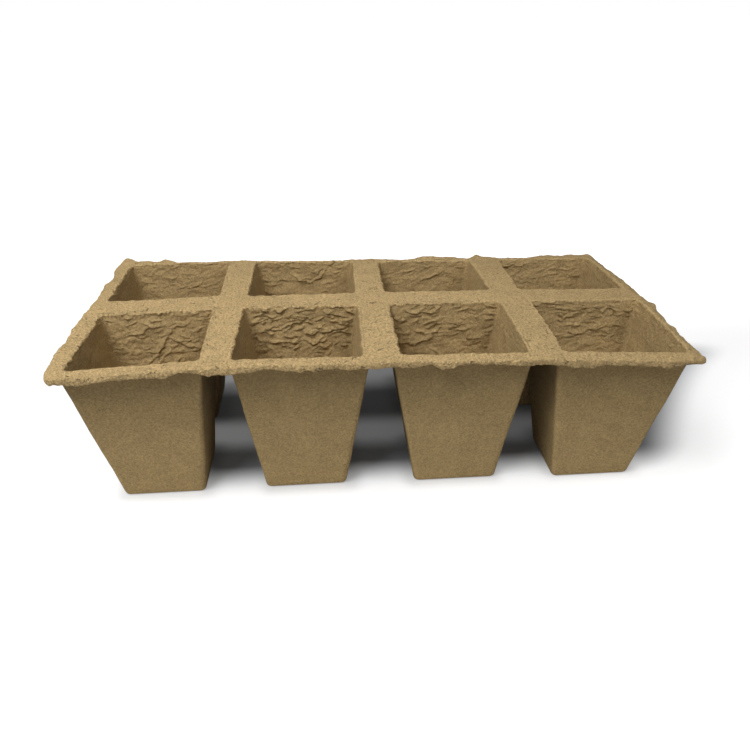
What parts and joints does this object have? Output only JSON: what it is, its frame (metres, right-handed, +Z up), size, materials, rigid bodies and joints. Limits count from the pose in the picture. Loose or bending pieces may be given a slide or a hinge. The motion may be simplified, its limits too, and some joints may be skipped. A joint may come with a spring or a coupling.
{
  "type": "plant pot strip",
  "caption": "Strip of square tapered seedling pots in two rows, moulded from peat and wood fibre, joined by a flat deck with a rim.",
  "frame": {"origin": "on the ground under the middle of the strip", "axes": "+X along the rows from left to right, +Y from the front row to the back row, +Z up"},
  "size_m": [0.239, 0.117, 0.0653],
  "materials": {
    "moulded_fibre": "matte"
  },
  "bodies": {
    "root": {"pot_front_1": "moulded_fibre", "pot_front_2": "moulded_fibre", "pot_front_3": "moulded_fibre", "pot_front_4": "moulded_fibre", "pot_back_1": "moulded_fibre", "pot_back_2": "moulded_fibre", "pot_back_3": "moulded_fibre", "pot_back_4": "moulded_fibre"}
  },
  "joints": []
}
